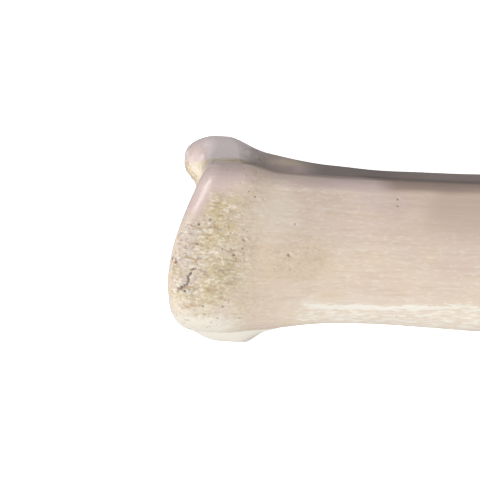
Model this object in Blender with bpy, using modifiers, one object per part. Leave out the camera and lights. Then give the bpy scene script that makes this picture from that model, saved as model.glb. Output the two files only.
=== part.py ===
"""Left metatarsal, the hind cannon bone, of a grown giraffe, lying at rest on its inner side.

The long axis runs along X with the hock end at -X. The back of the bone faces +Y, its front
faces -Y and its outer side faces up. The shaft and the hock end are one loft through named
sections, the two rollers for the hooves are turned, and all are fused into a single body.
Sizes are in millimetres and are turned into metres when a mesh is made.
"""

import math
from collections import namedtuple

import bmesh
import bpy
import numpy as np

MM = 0.001
NODE = "metatarsal_bone"

LENGTH = 690.0

# The rollers at the hoof end. The inner one is a little wider and reaches a little further.
INNER_CONDYLE_WIDTH = 42.0
OUTER_CONDYLE_WIDTH = 40.0
NOTCH_WIDTH = 9.0
NOTCH_DEPTH = 44.0
END_WIDTH = INNER_CONDYLE_WIDTH + NOTCH_WIDTH + OUTER_CONDYLE_WIDTH
KEEL_RADIUS = 26.0
TREAD_RADIUS = 21.0
CONDYLE_STEPS = 44
CONDYLE_ROLL = math.radians(2.5)
CONDYLE_LIFT = 0.3
CONDYLE_BACK = -1.0
OUTER_CONDYLE_SETBACK = 1.5

# Pits where the side ligaments of the fetlock were rooted.
PIT_RADIUS = 17.0
PIT_DEPTH = 2.4

# Openings of blood vessels: in the hollow of the hock end, and at the front above the notch.
CANAL_RADIUS = 2.6
CANAL_DEPTH = 14.0
FRONT_HOLE_RADIUS = 2.2
FRONT_HOLE_ABOVE_NOTCH = 22.0
FRONT_HOLE_DEPTH = 8.0
HOLE_SIDES = 16

# Cutters reach this far past what they cut, and the notch cutter shaves this off each roller.
CLEARANCE = 6.0
NOTCH_SHAVE = 0.1
NOTCH_SIDES = 24
BALL_SIDES = 28
BALL_RINGS = 18

# The face of the hock end. It falls back towards the outer back corner and over its front
# edge, and a knob stands up beside it at the inner back corner. Places are (y, z).
FACE_SETBACK = 1.2
FACE_FALL = 11.0
FACE_FALL_POWER = 1.7
FACE_FALL_Y = (-8.0, 29.0)
FACE_FALL_Z = (20.0, 82.0)
INNER_FALL_SHARE = 0.5
FRONT_FALL = 2.8
FRONT_FALL_Y = (-14.0, -24.0)
FACE_FADE = 46.0
KNOB = (39.0, 25.0)
KNOB_RISE = 7.0
KNOB_WIDTH = 10.4
KNOB_FLATNESS = 1.7

# The rim round that face is rounded, most of all at these places: (y, z), width, added radius.
RIM_RADIUS = 3.0
ROUNDER_RIMS = (
    ((46.0, 25.0), 17.0, 5.6),
    ((-22.0, 80.0), 15.0, 6.0),
    ((-32.0, 24.0), 15.0, 9.2),
)

# What is sunk into the face: (y, z), width, depth. First come the hollow round the canal and
# its channel to the back, then the dished facets that carried the hock.
HOLLOW = (10.0, 46.0)
HOLLOW_DEPTH = 5.0
SUNK = (
    (HOLLOW, 8.0, HOLLOW_DEPTH),
    ((23.0, 48.0), 7.0, 2.5),
    ((-5.0, 64.0), 13.0, 1.3),
    ((-9.0, 24.0), 14.0, 1.3),
)
SUNK_EDGE_POWER = 6

# One cross section. Heights are above the floor, and the rest is measured from the middle of
# the shaft towards the back. The soft_ sizes are how far each corner's rounding reaches.
Section = namedtuple("Section", (
    "at outer_top outer_back outer_front inner_back inner_back_z inner_front inner_front_z "
    "bottom under_back under_front trough groove crown soft_ridge soft_front soft_under"
))

SECTIONS = (
    Section(0, 83.6, 28.0, -20.0, 45.5, 26, -31.5, 25, 2.5, 33, -22, 2.5, 3.5, 0.5, 7, 12, 9),
    Section(13, 84.6, 28.4, -21.0, 48.2, 25, -35.4, 24, -0.5, 34, -24, 4.0, 5.0, 1.0, 6, 13, 10),
    Section(32, 81.5, 27.4, -20.6, 42.0, 27, -29.6, 27, 5.5, 31, -20, 7.0, 3.8, 1.5, 5, 13, 10),
    Section(58, 77.5, 27.4, -19.6, 37.6, 29, -22.0, 31, 13.5, 29, -15, 9.0, 1.4, 1.7, 5, 13, 10),
    Section(85, 76.0, 27.6, -20.6, 36.0, 30, -20.8, 34, 18.0, 29, -12, 9.3, 1.0, 1.8, 5, 14, 10),
    Section(115, 75.0, 28.0, -22.0, 36.2, 31, -21.0, 36, 21.5, 30, -10, 9.5, 0.9, 1.8, 5, 14, 10),
    Section(250, 73.0, 26.4, -22.0, 31.4, 33, -20.6, 38, 24.5, 25, -10, 8.0, 0.9, 1.6, 6, 14, 11),
    Section(420, 71.5, 22.0, -21.3, 24.6, 34, -20.3, 36, 24.5, 19, -9, 4.5, 1.1, 1.6, 8, 14, 12),
    Section(540, 75.5, 19.6, -20.8, 20.4, 28, -20.6, 28, 16.5, 14, -11, 1.8, 1.6, 1.5, 10, 14, 12),
    Section(600, 83.5, 19.6, -21.0, 19.8, 19, -21.0, 19, 6.0, 11, -13, 0.8, 2.2, 1.2, 12, 14, 12),
    Section(638, 89.4, 19.2, -21.0, 19.2, 15, -21.0, 15, 1.0, 9, -12, 0.3, 2.4, 1.0, 14, 14, 11),
    Section(660, 89.6, 18.9, -20.9, 18.9, 15, -20.9, 15, 1.2, 8, -11, 0.0, 0.8, 1.0, 14, 14, 11),
    Section(672, 86.0, 16.2, -18.2, 16.2, 17, -18.2, 17, 4.2, 8, -10, 0.0, 0.0, 0.6, 12, 12, 9),
)

# Points on each rounded corner and inside each straight side of a section's outline. The sides
# are the outer face, the trough at the back, the inner ridge's flank, the inner face, its
# front flank and the grooved front. A corner's rounding takes at most this share of a side.
CORNER_POINTS = 5
SIDE_POINTS = (5, 9, 1, 5, 1, 7)
TROUGH_SIDE = 1
TROUGH_SHARPNESS = 2.6
CROWN_SIDES = (0, 3)
CROWN_SHARE = 0.05
GROOVE_SIDE = 5
GROOVE_SHARPNESS = 2
ROUNDING_SHARE = 0.46

# Where the rings of the loft lie, along the side of the bone and over the hock end's face.
RIM_RINGS = 4
RING_SPANS = ((13.0, 65.0, 12), (65.0, 250.0, 10), (250.0, 540.0, 10), (540.0, 672.0, 14))
FACE_RINGS = 8
FACE_RING_POWER = 0.8


def curve_through(places, values):
    """Return a smooth function through the values, without overshoot between them."""
    places = np.array(places, float)
    values = np.array(values, float)
    steps = np.diff(places)
    slopes = np.diff(values) / steps
    tangents = np.zeros(len(values))
    tangents[0] = slopes[0]
    tangents[-1] = slopes[-1]
    for i in range(1, len(slopes)):
        if slopes[i - 1] * slopes[i] > 0:
            tangents[i] = 2 * slopes[i - 1] * slopes[i] / (slopes[i - 1] + slopes[i])

    def value(at):
        i = int(np.clip(np.searchsorted(places, at) - 1, 0, len(steps) - 1))
        t = (at - places[i]) / steps[i]
        rise = (3 - 2 * t) * t * t
        bend = t * (1 - t) * steps[i]
        ends = (1 - rise) * values[i] + rise * values[i + 1]
        return ends + bend * ((1 - t) * tangents[i] - t * tangents[i + 1])

    return value


CURVES = {
    name: curve_through([s.at for s in SECTIONS], [getattr(s, name) for s in SECTIONS])
    for name in Section._fields[1:]
}


def section_at(at):
    """Read every size of the cross section at this distance from the hock end."""
    return Section(at, *(CURVES[name](at) for name in Section._fields[1:]))


def bump(t, sharpness):
    """Rise from 0 at both ends of a side to 1 in its middle."""
    return (1 - abs(2 * t - 1) ** sharpness) ** 2


def side_relief(section, side, t, span):
    """Return how far a side's surface is moved at t: the trough, the groove or the crown."""
    if side == TROUGH_SIDE:
        return np.array((-section.trough * bump(t, TROUGH_SHARPNESS), 0))
    if side == GROOVE_SIDE:
        return np.array((section.groove * bump(t, GROOVE_SHARPNESS), 0))
    if side in CROWN_SIDES:
        crown = min(section.crown, CROWN_SHARE * np.linalg.norm(span)) * 4 * t * (1 - t)
        return np.array((0, crown if side == CROWN_SIDES[0] else -crown))
    return np.zeros(2)


def outline(section):
    """Return the section's closed outline as points (y, z), corner by corner."""
    corners = np.array((
        (section.outer_front, section.outer_top - section.crown),
        (section.outer_back, section.outer_top),
        (section.inner_back, section.inner_back_z),
        (section.under_back, section.bottom),
        (section.under_front, section.bottom),
        (section.inner_front, section.inner_front_z),
    ))
    softness = (
        section.soft_front,
        section.soft_ridge,
        section.soft_ridge,
        section.soft_under,
        section.soft_under,
        section.soft_front,
    )
    points = []
    for i, corner in enumerate(corners):
        before = corners[i - 1] - corner
        following = (i + 1) % len(corners)
        after = corners[following] - corner
        room_before = np.linalg.norm(before)
        room_after = np.linalg.norm(after)
        onward = after / room_after
        start = corner + before / room_before * min(softness[i], ROUNDING_SHARE * room_before)
        end = corner + onward * min(softness[i], ROUNDING_SHARE * room_after)
        for t in np.linspace(0, 1, CORNER_POINTS):
            points.append((1 - t) ** 2 * start + 2 * t * (1 - t) * corner + t * t * end)
        left_for_next = min(softness[following], ROUNDING_SHARE * room_after)
        goal = corners[following] - onward * left_for_next
        for t in np.linspace(0, 1, SIDE_POINTS[i] + 2)[1:-1]:
            points.append(end + (goal - end) * t + side_relief(section, i, t, goal - end))
    return np.array(points)


def bell(points, middle, width, flatness=1):
    """Return 1 at the middle of a round patch of the section, falling off over the width."""
    away = ((points - np.array(middle)) ** 2).sum(axis=1)
    return np.exp(-(away / width ** 2) ** flatness)


def ramp(values, limits):
    """Rise from 0 at the first limit to 1 at the second."""
    return (values - limits[0]) / (limits[1] - limits[0])


def end_face(points):
    """Return how far back from the bone's end the rim of the hock end lies at each point."""
    towards_back = np.clip(ramp(points[:, 0], FACE_FALL_Y), 0, 1)
    towards_outside = np.clip(ramp(points[:, 1], FACE_FALL_Z), 0, 1)
    share = INNER_FALL_SHARE + (1 - INNER_FALL_SHARE) * towards_outside
    fall = FACE_FALL * towards_back ** FACE_FALL_POWER * share
    bevel = FRONT_FALL * np.clip(ramp(points[:, 0], FRONT_FALL_Y), 0, 2) ** 2
    knob = KNOB_RISE * bell(points, KNOB, KNOB_WIDTH, KNOB_FLATNESS)
    return FACE_SETBACK + fall + bevel - knob


def face_relief(points):
    """Return the depth of the hollow and of the dished facets inside the hock end's rim."""
    return sum(depth * bell(points, place, width) for place, width, depth in SUNK)


def rim_rounding(points):
    """Return the radius of the rim at each point, larger at the knob and the front corners."""
    added = sum(radius * bell(points, place, width) for place, width, radius in ROUNDER_RIMS)
    return RIM_RADIUS + added


def loft_rings():
    """Return the rings of the shaft and hock end, from the middle of the face to the hooves."""
    rings = []
    first = outline(section_at(RING_SPANS[0][0]))
    middle = first.mean(axis=0)
    inward = middle - first
    reach = np.linalg.norm(inward, axis=1)[:, None]
    radius = rim_rounding(first)
    edge = first + inward / reach * radius[:, None]
    for k in np.linspace(0, 1, FACE_RINGS + 1)[1:-1] ** FACE_RING_POWER:
        flat = middle + (edge - middle) * k
        depth = face_relief(flat) * (1 - k ** SUNK_EDGE_POWER)
        rings.append(np.column_stack((end_face(flat) + depth, flat)))
    for turn in np.linspace(0, math.pi / 2, RIM_RINGS + 1)[:-1]:
        flat = first + inward / reach * (radius * (1 - math.sin(turn)))[:, None]
        rings.append(np.column_stack((end_face(flat) + radius * (1 - math.cos(turn)), flat)))
    for start, stop, count in RING_SPANS:
        for at in np.linspace(start, stop, count, endpoint=stop == RING_SPANS[-1][1]):
            flat = outline(section_at(at))
            fade = max(0.0, 1 - (at - RING_SPANS[0][0]) / FACE_FADE) ** 2
            rings.append(np.column_stack((at + end_face(flat) * fade, flat)))
    centre = np.array((middle,))
    start_tip = np.array((end_face(centre)[0] + face_relief(centre)[0], *middle))
    last = rings[-1]
    return start_tip, rings, last.mean(axis=0)


def placed(point):
    """Turn a place along, across and above into metres, with the bone's middle at X = 0."""
    return ((point[0] - LENGTH / 2) * MM, point[1] * MM, point[2] * MM)


def make_loft():
    """Build the shaft and the hock end as one closed mesh through their rings."""
    start_tip, rings, end_tip = loft_rings()
    mesh = bmesh.new()
    first = mesh.verts.new(placed(start_tip))
    loops = [[mesh.verts.new(placed(point)) for point in ring] for ring in rings]
    last = mesh.verts.new(placed(end_tip))
    count = len(loops[0])
    for i in range(count):
        j = (i + 1) % count
        mesh.faces.new((first, loops[0][i], loops[0][j]))
        for ring, following in zip(loops, loops[1:]):
            mesh.faces.new((ring[j], ring[i], following[i], following[j]))
        mesh.faces.new((loops[-1][j], loops[-1][i], last))
    bmesh.ops.recalc_face_normals(mesh, faces=mesh.faces)
    data = bpy.data.meshes.new("shaft_and_hock_end")
    mesh.to_mesh(data)
    mesh.free()
    return bpy.data.objects.new("shaft_and_hock_end", data)


def condyle_profile(width):
    """Return a roller's outline as (radius, height), from its notch side to its outer side."""
    keel = 0.53 * width
    return (
        (0.0, width),
        (TREAD_RADIUS - 4.0, width),
        (TREAD_RADIUS - 0.8, width - 1.2),
        (TREAD_RADIUS + 0.5, width - 4.0),
        (TREAD_RADIUS + 0.4, keel + 7.0),
        (TREAD_RADIUS + 1.6, keel + 4.6),
        (KEEL_RADIUS - 0.7, keel + 2.0),
        (KEEL_RADIUS, keel),
        (KEEL_RADIUS - 0.9, keel - 2.2),
        (TREAD_RADIUS + 1.2, keel - 5.0),
        (TREAD_RADIUS - 0.2, keel - 8.0),
        (TREAD_RADIUS - 1.5, 4.0),
        (TREAD_RADIUS - 3.0, 1.2),
        (TREAD_RADIUS - 6.0, 0.0),
        (0.0, 0.0),
    )


def make_condyle(name, width, outer_side_down):
    """Turn one roller about its own upright axis, with its outer side at the height of 0."""
    profile = condyle_profile(width)
    data = bpy.data.meshes.new(name + "_profile")
    links = [(i, i + 1) for i in range(len(profile) - 1)]
    data.from_pydata([(radius * MM, 0, height * MM) for radius, height in profile], links, [])
    turned = bpy.data.objects.new(name + "_profile", data)
    bpy.context.scene.collection.objects.link(turned)
    screw = turned.modifiers.new("turn", "SCREW")
    screw.steps = CONDYLE_STEPS
    screw.render_steps = CONDYLE_STEPS
    screw.use_merge_vertices = True
    screw.merge_threshold = 1e-6
    data = evaluated_mesh(turned)
    bpy.data.objects.remove(turned)
    mesh = bmesh.new()
    mesh.from_mesh(data)
    bmesh.ops.remove_doubles(mesh, verts=mesh.verts, dist=1e-6)
    if not outer_side_down:
        bmesh.ops.scale(mesh, vec=(1, 1, -1), verts=mesh.verts)
    bmesh.ops.recalc_face_normals(mesh, faces=mesh.faces)
    mesh.to_mesh(data)
    mesh.free()
    return bpy.data.objects.new(name, data)


def condyles():
    """Make both rollers and stand them side by side with the notch between them."""
    at = LENGTH - KEEL_RADIUS
    inner = make_condyle("inner_condyle", INNER_CONDYLE_WIDTH, True)
    inner.location = placed((at, CONDYLE_BACK, CONDYLE_LIFT))
    outer = make_condyle("outer_condyle", OUTER_CONDYLE_WIDTH, False)
    outer.location = placed((at - OUTER_CONDYLE_SETBACK, CONDYLE_BACK, END_WIDTH))
    for roller in (inner, outer):
        roller.rotation_euler = (CONDYLE_ROLL, 0, 0)
    return [inner, outer]


def box(name, low, high):
    """Make a box between two corners."""
    mesh = bmesh.new()
    bmesh.ops.create_cube(mesh, size=1)
    low = np.array(low)
    high = np.array(high)
    for corner in mesh.verts:
        corner.co = placed((low + high) / 2 + (high - low) * np.array(corner.co))
    data = bpy.data.meshes.new(name)
    mesh.to_mesh(data)
    mesh.free()
    return bpy.data.objects.new(name, data)


def rod(name, middle, radius, length, turn, sides=HOLE_SIDES):
    """Make a round rod about its middle, turned from upright by the given angles."""
    mesh = bmesh.new()
    bmesh.ops.create_cone(
        mesh,
        cap_ends=True,
        segments=sides,
        radius1=radius * MM,
        radius2=radius * MM,
        depth=length * MM,
    )
    data = bpy.data.meshes.new(name)
    mesh.to_mesh(data)
    mesh.free()
    thing = bpy.data.objects.new(name, data)
    thing.location = placed(middle)
    thing.rotation_euler = turn
    return thing


def ball(name, middle, radius):
    """Make a round ball."""
    mesh = bmesh.new()
    bmesh.ops.create_uvsphere(
        mesh,
        u_segments=BALL_SIDES,
        v_segments=BALL_RINGS,
        radius=radius * MM,
    )
    data = bpy.data.meshes.new(name)
    mesh.to_mesh(data)
    mesh.free()
    thing = bpy.data.objects.new(name, data)
    thing.location = placed(middle)
    return thing


def cutters():
    """Make what is cut away: the notch, ligament pits, vessel openings and the floor."""
    notch_z = INNER_CONDYLE_WIDTH + CONDYLE_LIFT + NOTCH_WIDTH / 2
    half = NOTCH_WIDTH / 2 + NOTCH_SHAVE
    notch_start = LENGTH - NOTCH_DEPTH + half
    reach = KEEL_RADIUS + CLEARANCE
    condyle_at = LENGTH - KEEL_RADIUS
    pit_away = PIT_RADIUS - PIT_DEPTH
    front_hole_at = LENGTH - NOTCH_DEPTH - FRONT_HOLE_ABOVE_NOTCH
    front = section_at(front_hole_at).outer_front
    sideways = math.pi / 2
    return [
        box(
            "notch_cutter",
            (notch_start, -reach, notch_z - half),
            (LENGTH + CLEARANCE, reach, notch_z + half),
        ),
        rod(
            "notch_end_cutter",
            (notch_start, 0, notch_z),
            half,
            2 * reach - CLEARANCE,
            (sideways, 0, 0),
            NOTCH_SIDES,
        ),
        ball("inner_pit_cutter", (condyle_at, CONDYLE_BACK, -pit_away), PIT_RADIUS),
        ball("outer_pit_cutter", (condyle_at, CONDYLE_BACK, END_WIDTH + pit_away), PIT_RADIUS),
        rod(
            "canal_cutter",
            (FACE_SETBACK + HOLLOW_DEPTH, *HOLLOW),
            CANAL_RADIUS,
            2 * CANAL_DEPTH,
            (0, sideways, 0),
        ),
        rod(
            "front_hole_cutter",
            (front_hole_at, front, notch_z),
            FRONT_HOLE_RADIUS,
            2 * FRONT_HOLE_DEPTH,
            (sideways, 0, 0),
        ),
        box(
            "floor_cutter",
            (-CLEARANCE, -END_WIDTH, -END_WIDTH),
            (LENGTH + CLEARANCE, END_WIDTH, 0),
        ),
    ]


def evaluated_mesh(thing):
    """Return the object's mesh with its modifiers applied."""
    bpy.context.view_layer.update()
    graph = bpy.context.evaluated_depsgraph_get()
    return bpy.data.meshes.new_from_object(thing.evaluated_get(graph))


def keep_largest_body(data):
    """Drop every closed surface of the mesh but the one with the most faces."""
    mesh = bmesh.new()
    mesh.from_mesh(data)
    left = set(mesh.verts)
    bodies = []
    while left:
        body = []
        waiting = [left.pop()]
        while waiting:
            corner = waiting.pop()
            body.append(corner)
            near = {link.other_vert(corner) for link in corner.link_edges} & left
            left -= near
            waiting.extend(near)
        bodies.append(body)
    bodies.sort(key=len)
    for body in bodies[:-1]:
        bmesh.ops.delete(mesh, geom=body, context="VERTS")
    mesh.to_mesh(data)
    mesh.free()


def combine(thing, others, operation):
    """Fuse the other objects with this one, or cut them from it, and apply the result."""
    joined = thing.modifiers.new(operation.lower(), "BOOLEAN")
    joined.operation = operation
    joined.operand_type = "COLLECTION"
    joined.collection = others
    joined.solver = "EXACT"
    data = evaluated_mesh(thing)
    thing.modifiers.clear()
    thing.data = data
    keep_largest_body(data)


def centre_on_floor(data):
    """Move the mesh so that the middle of its base's outer box is the origin."""
    mesh = bmesh.new()
    mesh.from_mesh(data)
    places = np.array([corner.co for corner in mesh.verts])
    middle = (places.min(axis=0) + places.max(axis=0)) / 2
    base = (middle[0], middle[1], places[:, 2].min())
    bmesh.ops.translate(mesh, vec=[-value for value in base], verts=mesh.verts)
    mesh.to_mesh(data)
    mesh.free()


def bone_material():
    """Make the pale, slightly waxy material of clean dry bone."""
    material = bpy.data.materials.new("bone")
    material.use_nodes = True
    shader = material.node_tree.nodes["Principled BSDF"]
    shader.inputs["Base Color"].default_value = (0.72, 0.60, 0.47, 1)
    shader.inputs["Roughness"].default_value = 0.42
    shader.inputs["Metallic"].default_value = 0
    return material


def collection(name):
    """Make a collection in the scene."""
    group = bpy.data.collections.new(name)
    bpy.context.scene.collection.children.link(group)
    return group


def main():
    for thing in list(bpy.data.objects):
        bpy.data.objects.remove(thing)
    parts = collection("giraffe_metatarsal")
    pieces = collection("pieces")
    cuts = collection("cutters")
    bone = make_loft()
    parts.objects.link(bone)
    for roller in condyles():
        pieces.objects.link(roller)
    for cutter in cutters():
        cutter.hide_render = True
        cutter.display_type = "WIRE"
        cuts.objects.link(cutter)
    combine(bone, pieces, "UNION")
    combine(bone, cuts, "DIFFERENCE")
    for roller in list(pieces.objects):
        bpy.data.objects.remove(roller)
    bpy.data.collections.remove(pieces)
    centre_on_floor(bone.data)
    bone.name = NODE
    bone.data.name = NODE
    bone.data.materials.clear()
    bone.data.materials.append(bone_material())
    bone.data.shade_smooth()
    bone.data.set_sharp_from_angle(angle=math.radians(40))


main()
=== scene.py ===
# %% [markdown]
# # The hind cannon bone of a giraffe
#
# This lesson dresses the metatarsal of a giraffe, the long bone between its hock and its
# hooves. It is a tube of dense bone that swells into two spongy ends. Its plain solid is packed
# already. Here a finer skin takes its place, with the pits, grain and colours of a dry bone.

# %% Load the packed solid and keep its outer box
import math

import bmesh
import bpy
import numpy as np
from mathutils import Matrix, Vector, kdtree


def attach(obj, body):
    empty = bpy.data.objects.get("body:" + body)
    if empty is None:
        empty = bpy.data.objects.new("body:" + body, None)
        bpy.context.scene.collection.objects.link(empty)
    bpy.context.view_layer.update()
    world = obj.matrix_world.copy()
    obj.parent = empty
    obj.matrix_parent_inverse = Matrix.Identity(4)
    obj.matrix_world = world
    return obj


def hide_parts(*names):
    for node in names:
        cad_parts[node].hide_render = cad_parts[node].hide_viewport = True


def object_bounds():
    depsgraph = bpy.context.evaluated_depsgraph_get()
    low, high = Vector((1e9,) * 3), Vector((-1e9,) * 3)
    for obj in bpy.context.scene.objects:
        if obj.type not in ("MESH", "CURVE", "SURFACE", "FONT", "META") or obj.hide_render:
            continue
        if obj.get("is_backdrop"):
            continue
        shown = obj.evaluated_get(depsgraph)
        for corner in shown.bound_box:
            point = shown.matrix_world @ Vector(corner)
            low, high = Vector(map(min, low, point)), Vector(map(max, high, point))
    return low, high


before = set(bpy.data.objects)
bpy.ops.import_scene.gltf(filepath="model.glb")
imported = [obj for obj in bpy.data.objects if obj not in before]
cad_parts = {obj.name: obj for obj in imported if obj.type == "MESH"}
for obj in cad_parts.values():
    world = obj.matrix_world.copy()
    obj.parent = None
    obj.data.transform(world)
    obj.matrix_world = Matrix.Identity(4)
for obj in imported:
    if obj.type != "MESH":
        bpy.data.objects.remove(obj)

cad_low, cad_high = (np.array(corner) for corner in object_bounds())
print("The solid measures", np.round((cad_high - cad_low) * 1000, 1), "mm")

# %% [markdown]
# ## Where things are on the bone
#
# Places are given in the bone's own millimetres: how far from the hock end, how far towards
# the back, and how high above the floor. The last step turns them into metres in the frame. The
# bone's back faces +Y, its front -Y, and its outer side faces up.

# %% The bone's own millimetres
MM = 0.001
LENGTH = 690.0
BACK_SHIFT = 6.82


def placed(name, data):
    """Make an object of this data and put it into the scene."""
    thing = bpy.data.objects.new(name, data)
    bpy.context.scene.collection.objects.link(thing)
    return thing


def in_frame(places):
    """Turn places (at, y, z) in millimetres into metres in the frame."""
    return (np.asarray(places) - (LENGTH / 2, BACK_SHIFT, 0)) * MM


print("The hock end is at X =", in_frame((0, 0, 0))[0], "m")

# %% [markdown]
# ## Cross sections
#
# A cannon bone is a loft: a hexagon with rounded corners that changes along the shaft. Each row
# is one section. The back of the shaft is a trough between two ridges, the front has a shallow
# groove, and the outer side is nearly flat. The soft_ sizes say how far a corner's rounding goes.

# %% The measured sections
SIZES = """at outer_top outer_back outer_front inner_back inner_back_z inner_front inner_front_z
    bottom under_back under_front trough groove crown soft_ridge soft_front soft_under""".split()
SECTIONS = np.array((
    (0, 83.6, 28.0, -20.0, 45.5, 26, -31.5, 25, 2.5, 33, -22, 2.5, 3.5, 0.5, 7, 12, 9),
    (13, 84.6, 28.4, -21.0, 48.2, 25, -35.4, 24, -0.5, 34, -24, 4.0, 5.0, 1.0, 6, 13, 10),
    (32, 81.5, 27.4, -20.6, 42.0, 27, -29.6, 27, 5.5, 31, -20, 7.0, 3.8, 1.5, 5, 13, 10),
    (58, 77.5, 27.4, -19.6, 37.6, 29, -22.0, 31, 13.5, 29, -15, 9.0, 1.4, 1.7, 5, 13, 10),
    (85, 76.0, 27.6, -20.6, 36.0, 30, -20.8, 34, 18.0, 29, -12, 9.3, 1.0, 1.8, 5, 14, 10),
    (115, 75.0, 28.0, -22.0, 36.2, 31, -21.0, 36, 21.5, 30, -10, 9.5, 0.9, 1.8, 5, 14, 10),
    (250, 73.0, 26.4, -22.0, 31.4, 33, -20.6, 38, 24.5, 25, -10, 8.0, 0.9, 1.6, 6, 14, 11),
    (420, 71.5, 22.0, -21.3, 24.6, 34, -20.3, 36, 24.5, 19, -9, 4.5, 1.1, 1.6, 8, 14, 12),
    (540, 75.5, 19.6, -20.8, 20.4, 28, -20.6, 28, 16.5, 14, -11, 1.8, 1.6, 1.5, 10, 14, 12),
    (600, 83.5, 19.6, -21.0, 19.8, 19, -21.0, 19, 6.0, 11, -13, 0.8, 2.2, 1.2, 12, 14, 12),
    (638, 89.4, 19.2, -21.0, 19.2, 15, -21.0, 15, 1.0, 9, -12, 0.3, 2.4, 1.0, 14, 14, 11),
    (660, 89.6, 18.9, -20.9, 18.9, 15, -20.9, 15, 1.2, 8, -11, 0.0, 0.8, 1.0, 14, 14, 11),
    (672, 86.0, 16.2, -18.2, 16.2, 17, -18.2, 17, 4.2, 8, -10, 0.0, 0.0, 0.6, 12, 12, 9),
))
print(len(SECTIONS), "sections of", len(SIZES) - 1, "sizes")

# %% [markdown]
# Between two sections every size follows a smooth curve that never overshoots its values. A
# cubic with its slopes taken as harmonic means does that.

# %% Curves through the sections


def curve_through(places, values):
    """Return a smooth function through the values."""
    steps = np.diff(places)
    slopes = np.diff(values) / steps
    tangents = np.concatenate((slopes[:1], np.zeros(len(slopes) - 1), slopes[-1:]))
    same = slopes[:-1] * slopes[1:] > 0
    left = slopes[:-1][same]
    right = slopes[1:][same]
    tangents[1:-1][same] = 2 * left * right / (left + right)

    def value(at):
        at = np.asarray(at, float)
        i = np.clip(np.searchsorted(places, at) - 1, 0, len(steps) - 1)
        t = (at - places[i]) / steps[i]
        rise = (3 - 2 * t) * t * t
        bend = t * (1 - t) * steps[i]
        ends = (1 - rise) * values[i] + rise * values[i + 1]
        return ends + bend * ((1 - t) * tangents[i] - t * tangents[i + 1])

    return value


SIZE_AT = {
    name: curve_through(SECTIONS[:, 0], SECTIONS[:, column])
    for column, name in enumerate(SIZES)
    if column
}
print("At 300 mm the shaft is", round(SIZE_AT["outer_top"](300), 1), "mm high")

# %% [markdown]
# An outline runs round six corners and six sides. Most of its points lie on the outer side and
# the two ridges, which the camera sees. Beside a side with a crown the corners drop a little, so
# that no crease shows.

# %% Outlines of many sections at once
CORNER_POINTS = (40, 30, 16, 16, 16, 24)
SIDE_POINTS = (120, 110, 8, 30, 16, 70)
DISHED = {1: ("trough", -1, 2.6), 5: ("groove", 1, 2)}
CROWN_SHARE = 0.05
ROUNDING_SHARE = 0.46
CROWNED = {0: 0.8, 1: 0.8, 3: -0.8, 4: -0.8}
CORNERS = (
    ("outer_front", "outer_top", "front"), ("outer_back", "outer_top", "ridge"),
    ("inner_back", "inner_back_z", "ridge"), ("under_back", "bottom", "under"),
    ("under_front", "bottom", "under"), ("inner_front", "inner_front_z", "front"),
)


def pair(y, z):
    """Join two arrays into an array of (y, z)."""
    return np.stack((y, z), axis=-1)


def reach(vectors):
    """Return each vector's length, in a form that can divide it."""
    return np.linalg.norm(vectors, axis=-1, keepdims=True)


def side_relief(size, side, t, span):
    """Return how a side's surface is moved at t: the trough, the groove or a crown."""
    if side in DISHED:
        name, way, sharpness = DISHED[side]
        dish = way * np.outer(size[name], (1 - abs(2 * t - 1) ** sharpness) ** 2)
        return pair(dish, 0 * dish)
    crown = np.minimum(size["crown"], CROWN_SHARE * reach(span)[:, 0])
    lift = {0: 1, 3: -1}.get(side, 0) * np.outer(crown, 4 * t * (1 - t))
    return pair(0 * lift, lift)


def outlines(at, thin=1):
    """Return closed outlines at these distances: rings by points by (y, z)."""
    size = {name: curve(at) for name, curve in SIZE_AT.items()}
    corners = [pair(size[across], size[height]) for across, height, _ in CORNERS]
    corners[0][:, 1] -= size["crown"]
    soft = [size["soft_" + name][:, None] for *_, name in CORNERS]
    outer_width = reach(corners[1] - corners[0])[:, 0]
    under_width = reach(corners[4] - corners[3])[:, 0]
    width = {0: outer_width, 1: outer_width, 3: under_width, 4: under_width}
    strips = []
    for i, corner in enumerate(corners):
        following = (i + 1) % len(corners)
        before = corners[i - 1] - corner
        after = corners[following] - corner
        onward = after / reach(after)
        start = corner + before / reach(before) * np.minimum(soft[i], ROUNDING_SHARE * reach(before))
        end = corner + onward * np.minimum(soft[i], ROUNDING_SHARE * reach(after))
        goal = corners[following] - onward * np.minimum(soft[following], ROUNDING_SHARE * reach(after))
        t = np.linspace(0, 1, CORNER_POINTS[i] // thin)[None, :, None]
        if i in CROWNED:
            crown = np.minimum(size["crown"], CROWN_SHARE * width[i])
            drop = CROWNED[i] * 4 * crown / width[i] * soft[i][:, 0]
            corner = corner - pair(0 * drop, drop)
        bend = 2 * t * (1 - t) * corner[:, None]
        strips.append((1 - t) ** 2 * start[:, None] + bend + t * t * end[:, None])
        t = np.linspace(0, 1, SIDE_POINTS[i] // thin + 2)[1:-1]
        straight = end[:, None] + (goal - end)[:, None] * t[None, :, None]
        strips.append(straight + side_relief(size, i, t, goal - end))
    return np.concatenate(strips, axis=1)


print(outlines(np.array([13.0])).shape[1], "points round each ring")

# %% [markdown]
# ## The hock end
#
# The face that carried the hock falls away towards the outer back corner and over its front
# edge, and a knob stands up at the inner back corner. In its middle is a rough hollow with a
# vessel's canal, between smooth dished facets.

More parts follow.
